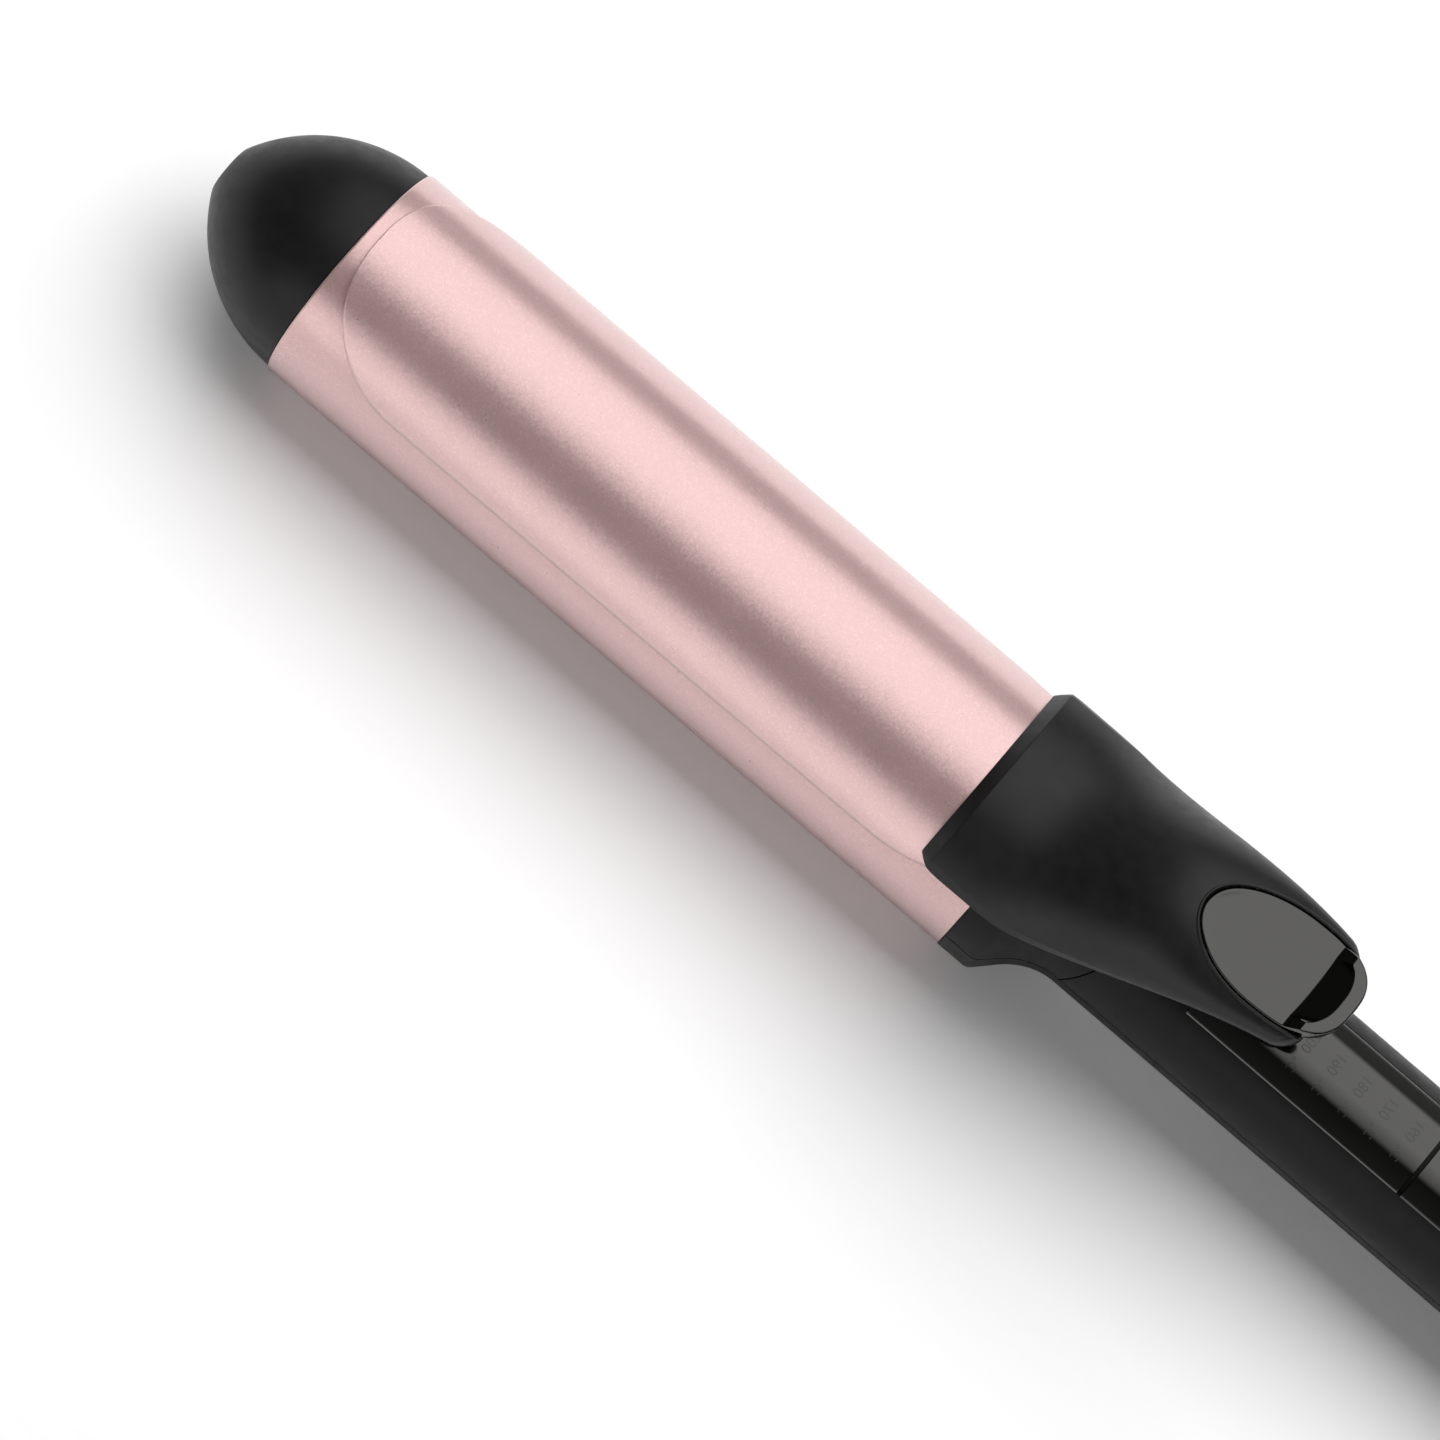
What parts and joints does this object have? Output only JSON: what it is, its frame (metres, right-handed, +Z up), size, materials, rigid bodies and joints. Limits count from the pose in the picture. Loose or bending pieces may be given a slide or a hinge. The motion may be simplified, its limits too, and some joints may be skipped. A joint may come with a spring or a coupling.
{
  "type": "curling iron",
  "caption": "Curling iron: round heated barrel with cool tip, sprung clip under a thumb lever, two-shell handle with display window, push buttons, folding stand and cord swivel.",
  "frame": {"origin": "middle of the object's box on the surface it lies on", "axes": "+X along the barrel from the cool tip to the tail, +Z up on the thumb lever's side"},
  "size_m": [0.33, 0.0382, 0.0563],
  "materials": {
    "tip_black": "fine moulded matte",
    "barrel_pink": "metallic rose coat with fine glitter, semi-gloss",
    "clip_pink": "metallic rose coat with fine glitter, semi-gloss",
    "shell_black": "satin moulded",
    "lever_black": "matte moulded",
    "pad_black": "polished",
    "panel_black": "polished",
    "button_black": "satin gloss",
    "steel": "zinc plated",
    "aluminium": "extruded",
    "brass": "bright",
    "heater_ceramic": "fired",
    "film": "polyimide film",
    "board_green": "solder mask",
    "parts_grey": "moulded",
    "led_white": "clear",
    "mount_grey": "glass-filled heat-resistant",
    "sleeve": "woven glass sleeve",
    "bead": "glass bead"
  },
  "bodies": {
    "handle": {"cool_tip": "tip_black", "barrel_tube": "barrel_pink", "heat_spreader_upper": "aluminium", "heat_spreader_lower": "aluminium", "heater_plates": "heater_ceramic", "electrode_strips": "brass", "insulating_films": "film", "pressure_springs": "steel", "thermistor": "bead", "thermal_fuse": "heater_ceramic", "heater_leads": "sleeve", "barrel_mount": "mount_grey", "front_collar": "shell_black", "lower_shell": "shell_black", "upper_shell": "shell_black", "display_window": "panel_black", "keypad_panel": "panel_black", "tactile_switches": "parts_grey", "temperature_leds": "led_white", "control_board": "board_green", "power_parts": "parts_grey", "shell_screws": "steel", "collar_screw": "steel", "lever_spring": "steel", "stand_pin": "steel", "slip_contacts": "brass", "swivel_retainer": "mount_grey", "supply_leads": "sleeve"},
    "lever": {"thumb_lever": "lever_black", "thumb_pad": "pad_black", "lever_bracket": "steel", "clip_plate": "clip_pink", "clip_rivets": "steel", "lever_screws": "steel", "lever_pin": "steel"},
    "power_key": {"power_button": "button_black"},
    "plus_key": {"plus_button": "button_black"},
    "minus_key": {"minus_button": "button_black"},
    "kickstand": {"stand": "steel"},
    "swivel": {"swivel_gland": "shell_black", "slip_rings": "brass"}
  },
  "joints": [
    {"name": "lever_hinge", "type": "hinge", "parent": "handle", "child": "lever", "pos_m": [0.005, 0, 0.034], "axis": [0, 1, 0], "range_deg": [0, 15], "stiffness_Nm_per_rad": 0.75, "springref_deg": -11.46, "deforming": ["lever_spring"]},
    {"name": "power_press", "type": "slide", "parent": "handle", "child": "power_key", "axis": [0, 0, -1], "range_m": [0, 0.0006], "stiffness_N_per_m": 500, "springref_m": -0.0008},
    {"name": "plus_press", "type": "slide", "parent": "handle", "child": "plus_key", "axis": [0, 0, -1], "range_m": [0, 0.0006], "stiffness_N_per_m": 500, "springref_m": -0.0008},
    {"name": "minus_press", "type": "slide", "parent": "handle", "child": "minus_key", "axis": [0, 0, -1], "range_m": [0, 0.0006], "stiffness_N_per_m": 500, "springref_m": -0.0008},
    {"name": "stand_hinge", "type": "hinge", "parent": "handle", "child": "kickstand", "pos_m": [0.005, 0, 0.0062], "axis": [0, 1, 0], "range_deg": [0, 100]},
    {"name": "swivel_turn", "type": "hinge", "parent": "handle", "child": "swivel", "pos_m": [0.153, 0, 0.0206], "axis": [1, 0, 0], "continuous": true}
  ]
}
